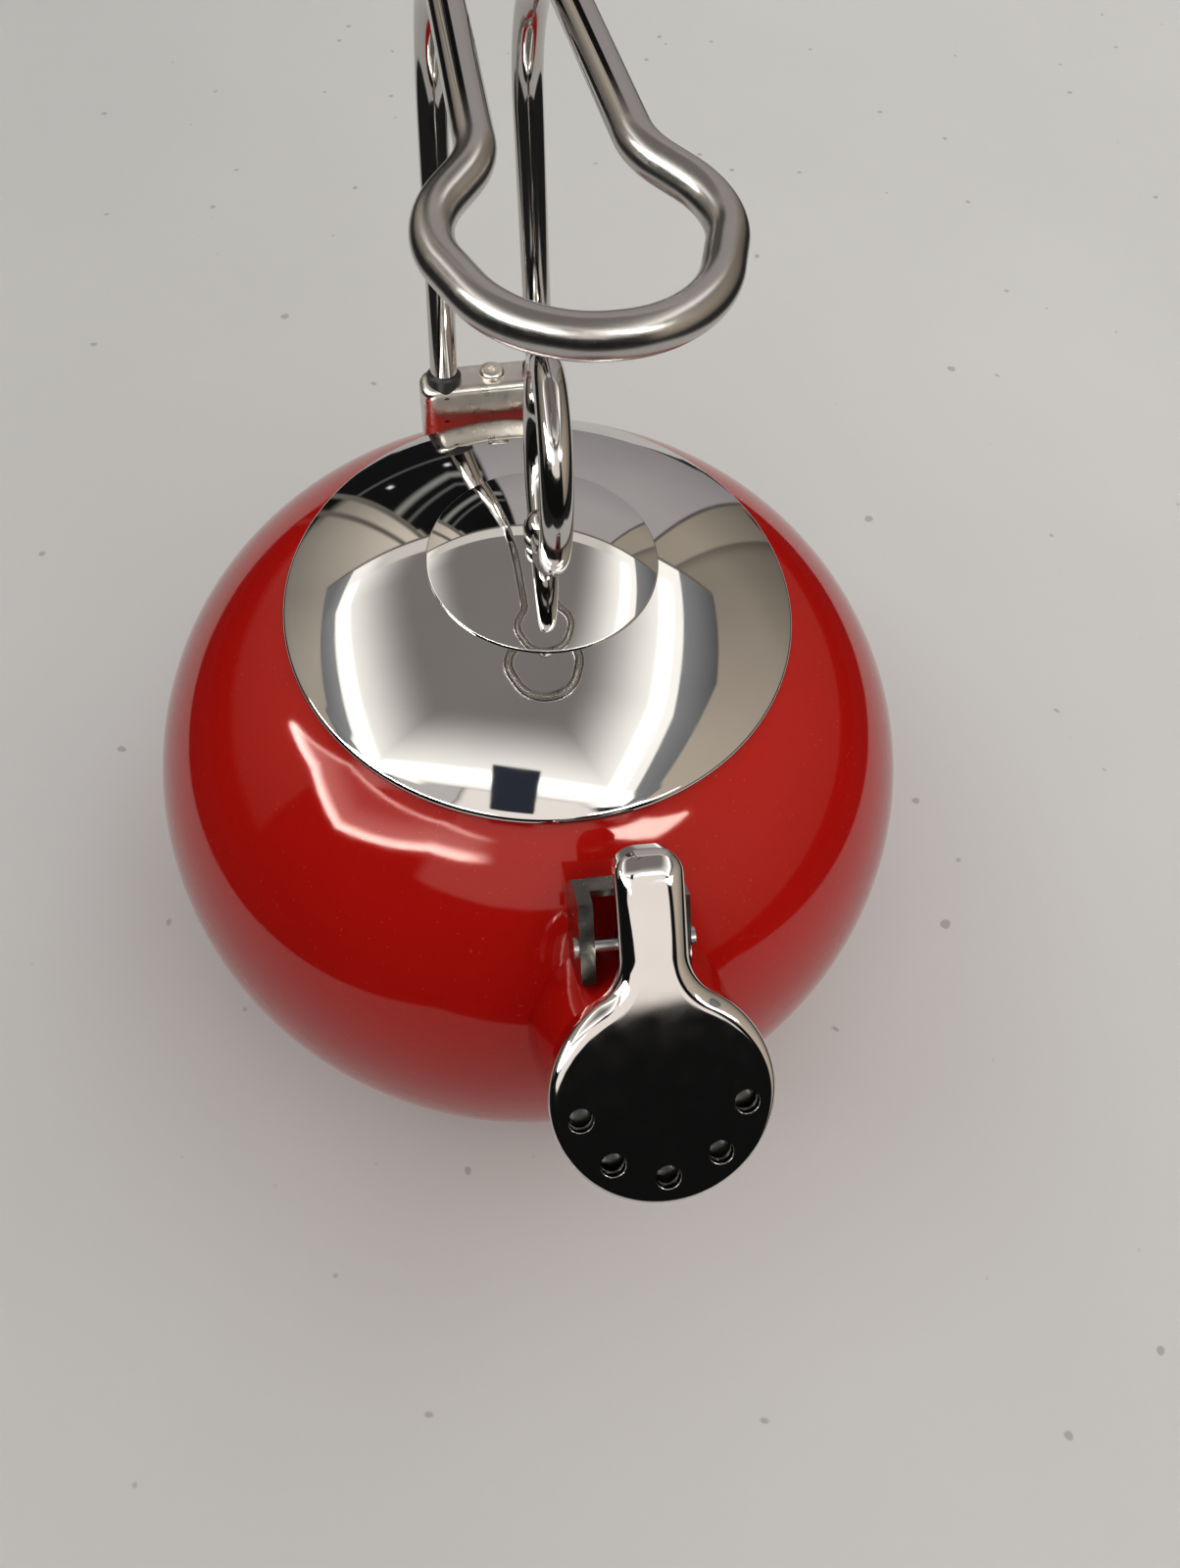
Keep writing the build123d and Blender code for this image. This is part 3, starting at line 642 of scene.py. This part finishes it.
def cap_shell():
    """The casting's skin, from its face over the rounded edge to the hollow underneath."""
    columns = 16
    insets = [0, 0.03, 0.1, 0.22, 0.4, 0.62, 0.9, 1.25, 1.65, 2.1, 2.6, 3.1, 3.6]
    levels = [(inset, lambda u, k=inset: cap_front(u) - cap_drop(k, u)) for inset in reversed(insets)]
    levels += [(0, cap_foot), (SKIRT_WALL, cap_foot), (SKIRT_WALL + 0.1, cap_under)]
    rings = []
    for inset, level in levels:
        loop = mirrored_loop(cap_loop(inset), columns)
        rings.append([spout_point(x, u, level(u)) for x, u in loop])
    points, faces = bridge(rings)
    half = len(cap_loop(0))
    count = len(rings[0])
    for side, (inset, level) in ((0, levels[0]), (len(levels) - 1, levels[-1])):
        rows = []
        for i, (x, u) in enumerate(cap_loop(inset)):
            right = side * count + i
            left = side * count + (count - i) % count
            if i == half - 1:
                rows.append([right + k for k in range(columns + 1)])
            elif i == 0:
                rows.append([right] * (columns + 1))
            else:
                row = [right]
                for k in range(1, columns):
                    row.append(len(points))
                    points.append(spout_point(x * (1 - 2 * k / columns), u, level(u)))
                rows.append(row + [left])
        for low_row, high_row in zip(rows, rows[1:]):
            for k in range(columns):
                face = []
                for index in (low_row[k], low_row[k + 1], high_row[k + 1], high_row[k]):
                    if index not in face:
                        face.append(index)
                faces.append(tuple(face))
    return outward(mesh_object("whistle_cap_casting", points, faces, sharp=60))


def prism(name, outline, x_low, x_high, soft=0.25):
    """Plate across the spout frame from a (u, n) outline, with softened edges."""
    middle_u = sum(u for u, n in outline) / len(outline)
    middle_n = sum(n for u, n in outline) / len(outline)
    rings = []
    for x, shrink in ((x_low, soft), (x_low + soft, 0), (x_high - soft, 0), (x_high, soft)):
        ring = []
        for u, n in outline:
            du = u - middle_u
            dn = n - middle_n
            scale = 1 - shrink / math.hypot(du, dn)
            ring.append(spout_point(x, middle_u + du * scale, middle_n + dn * scale))
        rings.append(ring)
    points, faces = bridge(rings, cap_ends=True)
    return outward(mesh_object(name, points, faces, sharp=30))


def joined(first, *others):
    """All the meshes in the first piece."""
    work = bmesh.new()
    for piece in (first, *others):
        work.from_mesh(piece.data)
    work.to_mesh(first.data)
    work.free()
    for piece in others:
        bpy.data.objects.remove(piece)
    return first


def vent_cutter(angle):
    """Slightly countersunk round cutter on the vent circle."""
    x = VENT_CIRCLE * math.sin(angle)
    u = -VENT_CIRCLE * math.cos(angle)
    sink = VENT_RADIUS + 0.2
    sides = 80
    rings = []
    for radius, n in ((VENT_RADIUS, -5), (VENT_RADIUS, -0.22), (sink, 0.02), (sink, 3)):
        ring = []
        for i in range(sides):
            a = 2 * math.pi * i / sides
            ring.append(spout_point(x + radius * math.cos(a), u + radius * math.sin(a), n))
        rings.append(ring)
    points, faces = bridge(rings, cap_ends=True)
    return outward(mesh_object("vent_cutter", points, faces))


def whistle_cap():
    """The casting: vented disc and lever, with two ears that hang on the hinge pin."""
    shell = cut_by(cap_shell(), [vent_cutter(VENT_STEP * k) for k in range(-2, 3)])
    ears = []
    for x_low in (3.6, -5.4):
        outline = [(21.6, -3.1), (30.4, -3.1)] + arc((PIN_U, PIN_N), EAR_RADIUS, 0, -180, 24)
        ear = prism("ear", outline, x_low, x_low + EAR_THICK)
        axis = [spout_point(-9, PIN_U, PIN_N), spout_point(9, PIN_U, PIN_N)]
        ears.append(cut_by(ear, [tube("pin_bore", axis, 1.36 * MM, sides=40)]))
    cap = joined(shell, *ears)
    cap.name = "whistle_cap_casting"
    return dress(cap, "polished_cap", "whistle_cap", "spout_cap")


whistle_cap()

# ---------------------------------------------------------------- finishes of the CAD nodes that stay
for part in frame["record"]["subparts"]:
    kept = NODES[part["node"]]
    kept.data.materials.clear()
    whistle = part["node"].startswith("whistle")     # seen through the vents, in the cap's shade
    finish = "shaded_steel" if whistle else part["material_slot"]
    kept.data.materials.append(MATERIALS[finish])


# ---------------------------------------------------------------- stage, light and camera
STUDIO_TURN = math.radians(-19)          # the studio's walls against the kettle's own axes
SHEET = ((-0.28, -0.45), (0.34, 0.75))   # the pale sheet that the kettle stands on
APRON = ((-6, -6), (6, 6))
DIFFUSE_GAIN = 2.9                       # matt surfaces get this much more light than mirrors show

WARM = (1.0, 0.86, 0.70)
SAND = (1.0, 0.89, 0.75)
BLUSH = (1.0, 0.93, 0.94)
COOL = (0.97, 0.98, 1.0)
CREAM = (1.0, 1.0, 0.97)


def flat_sheet(name, low, high, height):
    """Level rectangle that belongs to the stage, not to the kettle."""
    mesh = bpy.data.meshes.new(name)
    plan = [low, (high[0], low[1]), high, (low[0], high[1])]
    mesh.from_pydata([(*corner, height) for corner in plan], [], [(0, 1, 2, 3)])
    sheet = bpy.data.objects.new(name, mesh)
    bpy.context.scene.collection.objects.link(sheet)
    return sheet


def floor():
    """The pale sheet under the kettle, and the same floor beyond it for the camera alone."""
    material, tree, shader = new_material("pale_table")
    cloud = ramp(tree, noise(tree, 4.0, 4.0), 0.3, 0.7, 0, 1)
    pale = mix_colour(tree, cloud, (0.575, 0.60, 0.612), (0.61, 0.635, 0.648))
    place = node(tree, "ShaderNodeTexCoord").outputs["Object"]
    across = node(tree, "ShaderNodeSeparateXYZ", {"Vector": place}).outputs["X"]
    # painted shade: the table's colour is darkened by position, from none at x = 0.28 m to 14% at x = -0.12
    # m and beyond
    pale = mix_colour(tree, ramp(tree, across, 0.28, -0.12, 0.0, 0.14), pale, (0.0, 0.0, 0.0))
    specks = ramp(tree, noise(tree, 160.0, 0.0), 0.83, 0.86, 0, 0.5)
    tree.links.new(mix_colour(tree, specks, pale, (0.18, 0.17, 0.16)), shader.inputs["Base Color"])
    shader.inputs["Roughness"].default_value = 0.6
    sheet = flat_sheet("table_sheet", *SHEET, 0.0)
    apron = flat_sheet("table_apron", *APRON, -0.2 * MM)
    apron.visible_glossy = False
    apron.visible_diffuse = False
    apron.visible_shadow = False
    for part in (sheet, apron):
        part.data.materials.append(material)


class Maths:
    """Short names for the arithmetic nodes of one tree."""

    def __init__(self, tree):
        self.tree = tree

    def do(self, operation, *values):
        """One arithmetic node on links or numbers."""
        made = self.tree.nodes.new("ShaderNodeMath")
        made.operation = operation
        for socket, value in zip(made.inputs, values):
            if hasattr(value, "is_output"):
                self.tree.links.new(value, socket)
            else:
                socket.default_value = value
        return made.outputs[0]

    def add(self, *values):
        total = values[0]
        for value in values[1:]:
            total = self.do("ADD", total, value)
        return total

    def step(self, value, low, high):
        """0 below low, 1 above high, and smooth between them; low may be above high."""
        inputs = {"Value": value, "From Min": low, "From Max": high}
        made = node(self.tree, "ShaderNodeMapRange", inputs)
        made.interpolation_type = "SMOOTHSTEP"
        return made.outputs["Result"]

    def smallest(self, *values):
        least = values[0]
        for value in values[1:]:
            least = self.do("MINIMUM", least, value)
        return least

    def product(self, *values):
        total = values[0]
        for value in values[1:]:
            total = self.do("MULTIPLY", total, value)
        return total


def studio_light():
    """A light tent as a background: bright-edged ceiling, beige walls, dark doorway, dark front.

    Directions are turned with the studio and read in two ways. The ceiling is a level plane, with
    across and along as its coordinates over its height. The walls are read by bearing and height,
    in degrees.
    """
    world = bpy.data.worlds.new("light_tent")
    bpy.context.scene.world = world
    world.use_nodes = True
    tree = world.node_tree
    tree.nodes.clear()
    m = Maths(tree)
    place = node(tree, "ShaderNodeTexCoord").outputs["Generated"]
    inputs = {"Vector": place, "Angle": -STUDIO_TURN}
    turned = node(tree, "ShaderNodeVectorRotate", inputs, rotation_type="Z_AXIS")
    x, y, z = node(tree, "ShaderNodeSeparateXYZ", {"Vector": turned.outputs[0]}).outputs
    up = m.do("MAXIMUM", z, 0.02)
    across = m.do("DIVIDE", x, up)
    along = m.do("DIVIDE", y, up)
    height = m.product(m.do("ARCSINE", z), 180 / math.pi)
    bearing = m.product(m.do("ARCTAN2", y, x), 180 / math.pi)
    bearing = m.add(bearing, m.product(m.do("LESS_THAN", bearing, -120), 360))      # -120 to 240
    round_front = m.add(bearing, m.product(m.do("LESS_THAN", bearing, -60), 360))   # -60 to 300

    def line(value, start, end, low, high):
        """Value ramped from low to high between start and end, clamped."""
        return ramp(tree, value, start, end, low, high)

    def band(value, low, high, soft=0.8):
        """1 between low and high, 0 outside."""
        return m.product(m.step(value, low - soft, low + soft), m.step(value, high + soft, high - soft))

    def tinted(colour, level):
        """Colour times a level."""
        made = node(tree, "ShaderNodeVectorMath", {0: colour, "Scale": level}, operation="SCALE")
        return made.outputs[0]

    def over(base, mask, colour):
        """Colour laid over the base where the mask is 1."""
        return mix_colour(tree, mask, base, colour)

    # walls
    fall = line(height, -6, 24, 0.42, 1.0)
    right_level = m.product(line(bearing, -25, 52, 0.62, 0.31), fall)
    left_level = m.product(line(bearing, 132, 150, 0.66, 0.42), line(height, 2, 30, 0.42, 1.15))
    back_level = line(height, -9, 22, 0.31, 0.47)
    dark = (0.007, 0.007, 0.007)
    right_wall = m.product(band(bearing, -38, 60, 4.0), m.step(height, -3.5, -2.0))
    colour = over(dark, right_wall, tinted(WARM, right_level))
    colour = over(colour, band(bearing, 60, 68.5, 0.5), tinted(WARM, m.product(fall, 0.42)))
    colour = over(colour, band(bearing, 68.7, 107, 0.5), tinted(BLUSH, back_level))
    colour = over(colour, band(bearing, 68.2, 68.9, 0.3), (0.12, 0.10, 0.09))
    left_wall = m.product(band(bearing, 126, 199, 1.0), m.step(height, -1.0, 4.0))
    colour = over(colour, left_wall, tinted(SAND, left_level))
    colour = over(colour, band(bearing, 130.4, 131.6, 0.5), (0.14, 0.12, 0.10))
    colour = over(colour, band(bearing, 126.2, 127.4, 0.4), (0.16, 0.15, 0.13))

    # doorway between the back wall and the left wall, with a lit arch and two lamps beyond it
    door = m.product(band(bearing, 107.5, 126.2, 0.3), m.step(height, 31.0, 30.0))
    colour = over(colour, door, (0.008, 0.008, 0.009))
    colour = over(colour, m.product(door, band(height, 3.0, 4.2, 0.4)), (0.10, 0.10, 0.10))
    arch = m.add(height, m.product(m.do("ABSOLUTE", m.add(bearing, -113)), -0.55))
    colour = over(colour, m.product(door, band(arch, 12.5, 15.0, 1.2)), (0.30, 0.30, 0.27))
    colour = over(colour, m.product(door, band(arch, 18.5, 19.5, 0.8)), (0.16, 0.16, 0.15))
    lamps = m.add(band(bearing, 111.6, 112.4, 0.4), band(bearing, 121.6, 122.4, 0.4))
    colour = over(colour, m.product(door, band(height, 7.6, 9.2, 0.5), lamps), (1.0, 1.0, 1.0))

    # dark below the walls, and the light valances over the dark front
    colour = over(colour, m.product(m.step(height, -3.4, -4.4), m.step(bearing, 68, 64)), dark)
    colour = over(colour, m.step(height, -9.5, -10.5), (0.02, 0.02, 0.02))
    front = m.product(band(bearing, -119, -55, 3.0), m.step(height, 30.6, 31.6))
    colour = over(colour, front, (1.15, 1.06, 1.0))
    front = m.product(m.step(bearing, 210, 216), m.step(height, 44.0, 47.0))
    colour = over(colour, front, (0.66, 0.63, 0.60))

    # ceiling with bands round it
    left_edge = m.do("MAXIMUM", m.add(-1.24, m.product(along, -0.42)), -1.54)
    left_band = m.add(-1.46, m.product(along, -0.42))
    right_edge = m.smallest(m.add(0.715, m.product(along, 0.22)), 0.725)
    right_band = m.smallest(m.add(0.90, m.product(along, 0.356)), 1.04)
    from_left = m.do("SUBTRACT", across, left_edge)
    from_right = m.do("SUBTRACT", right_edge, across)
    from_front = m.add(along, 0.55)
    from_back = m.do("SUBTRACT", 1.17, along)
    inside = m.smallest(from_left, from_right, from_front, from_back)
    into_band = m.smallest(
        m.do("SUBTRACT", across, left_band),
        m.do("SUBTRACT", right_band, across),
        from_front,
    )
    on_band = m.product(m.step(into_band, -0.01, 0.01), m.step(from_back, -0.015, 0.0))
    into_right = m.do("SUBTRACT", across, right_edge)
    band_level = m.add(
        m.product(m.step(across, -0.1, 0.1), line(into_right, 0.0, 0.31, 0.31, 0.12)),
        m.product(m.step(across, 0.1, -0.1), line(from_left, -0.2, 0.0, 0.22, 0.36)),
    )
    colour = over(colour, on_band, tinted(COOL, band_level))
    side_glow = m.do("MAXIMUM", m.step(from_left, 0.74, 0.08), m.step(from_right, 0.56, 0.10))
    glow = m.do("MAXIMUM", side_glow, m.step(from_front, 0.42, 0.05))
    centre = mix_colour(tree, glow, (0.245, 0.225, 0.215), (1.42, 1.38, 1.30))
    colour = over(colour, m.step(inside, -0.006, 0.012), centre)
    far_strip = m.product(m.step(from_back, 0.20, 0.185), m.step(inside, 0.0, 0.01))
    colour = over(colour, m.product(far_strip, m.step(glow, 0.9, 0.4)), (0.80, 0.75, 0.69))
    rim_left = band(from_left, 0.06, 0.17, 0.05)
    rim_right = band(from_right, 0.09, 0.16, 0.03)
    rim_front = band(from_front, 0.04, 0.10, 0.03)
    rims = m.do("MAXIMUM", m.do("MAXIMUM", rim_left, rim_right), rim_front)
    rims = m.product(rims, m.step(inside, 0.0, 0.02))
    colour = over(colour, m.product(rims, m.step(from_back, 0.18, 0.30)), (3.0, 2.95, 2.85))
    edge_line = band(m.add(from_back, 0.02), -0.018, 0.018, 0.01)
    edge_line = m.product(edge_line, m.step(into_band, -0.01, 0.01))
    colour = over(colour, edge_line, (0.17, 0.15, 0.13))
    opening = m.product(band(across, -0.16, 0.08, 0.008), band(along, -0.66, -0.40, 0.008))
    colour = over(colour, opening, (0.03, 0.035, 0.05))

    # bright streak between two curves, strong enough for the enamelled shoulder to mirror it
    path = node(tree, "ShaderNodeLightPath").outputs
    low_curve = m.add(
        m.smallest(line(round_front, 180, 195, 23.5, 28.0), line(round_front, 195, 213, 28.0, 26.0)),
        line(round_front, 213, 240, 0.0, 14.5),
        line(round_front, 240, 262, 0.0, 3.5),
    )
    high_curve = m.add(
        line(round_front, 180, 200, 24.5, 40.0),
        line(round_front, 200, 240, 0.0, 10.5),
        line(round_front, 240, 262, 0.0, 1.0),
    )
    above = m.do("SUBTRACT", height, low_curve)
    below = m.do("SUBTRACT", high_curve, height)
    ends = m.product(m.step(round_front, 180, 182), m.step(round_front, 264, 250))
    streak = m.product(m.step(above, -0.5, 0.5), m.step(below, -0.5, 0.3), ends)
    level = m.add(
        1.2,
        m.product(m.step(above, 4.0, 1.0), 24.0),
        m.product(m.step(above, 13.0, 3.0), 3.0),
        m.product(m.step(below, 1.3, 0.3), 12.0),
    )
    colour = over(colour, m.product(streak, path["Is Glossy Ray"]), tinted(CREAM, level))

    # bright patch to the right of it, pointed at both ends
    patch_line = line(bearing, -57, -22, 52.0, 41.0)
    patch_half = m.smallest(line(bearing, -57, -36, 0.5, 3.4), line(bearing, -36, -22, 3.4, 0.4))
    off_line = m.do("ABSOLUTE", m.do("SUBTRACT", height, patch_line))
    patch = m.step(m.do("SUBTRACT", off_line, patch_half), 0.7, -0.7)
    patch = m.product(patch, band(bearing, -58, -22, 0.8), path["Is Glossy Ray"])
    colour = over(colour, patch, (24.0, 24.0, 23.0))

    # plain backdrop for the camera, more light for matt surfaces
    colour = over(colour, path["Is Camera Ray"], (0.47, 0.465, 0.455))
    strength = m.add(1.0, m.product(path["Is Diffuse Ray"], DIFFUSE_GAIN - 1))
    shade = node(tree, "ShaderNodeBackground", {"Color": colour, "Strength": strength})
    out = node(tree, "ShaderNodeOutputWorld")
    tree.links.new(shade.outputs[0], out.inputs["Surface"])


CAMERA_TARGET = Vector((0, 0, 57 * MM))
CAMERA_DISTANCE = 3.355 * 95 * MM
CAMERA_AZIMUTH = math.radians(-13)
CAMERA_ELEVATION = math.radians(59.02)
CAMERA_AIM = Vector((0.0198, -0.0481, 0.0444))   # small turn about right, down and forward
CAMERA_LENS = 27.0
CAMERA_SENSOR = 36.0


def camera():
    """Camera on a sphere about its target, with a small turn of its own aim."""
    flat = math.cos(CAMERA_ELEVATION)
    back = Vector((
        math.sin(CAMERA_AZIMUTH) * flat,
        -math.cos(CAMERA_AZIMUTH) * flat,
        math.sin(CAMERA_ELEVATION),
    ))
    right = (-back).cross(Vector((0, 0, 1))).normalized()
    down = (-back).cross(right)
    look = Matrix((right, down, -back))
    aim = Matrix.Rotation(CAMERA_AIM.length, 3, CAMERA_AIM.normalized())
    right, down, forward = aim @ look
    data = bpy.data.cameras.new("camera")
    data.lens = CAMERA_LENS
    data.sensor_width = CAMERA_SENSOR
    data.clip_start = 0.01
    shot = bpy.data.objects.new("camera", data)
    bpy.context.scene.collection.objects.link(shot)
    turn = Matrix((right, -down, -forward)).transposed().to_4x4()
    shot.matrix_world = Matrix.Translation(CAMERA_TARGET + back * CAMERA_DISTANCE) @ turn
    bpy.context.scene.camera = shot


floor()
studio_light()
camera()
bpy.context.scene.view_settings.view_transform = "Standard"
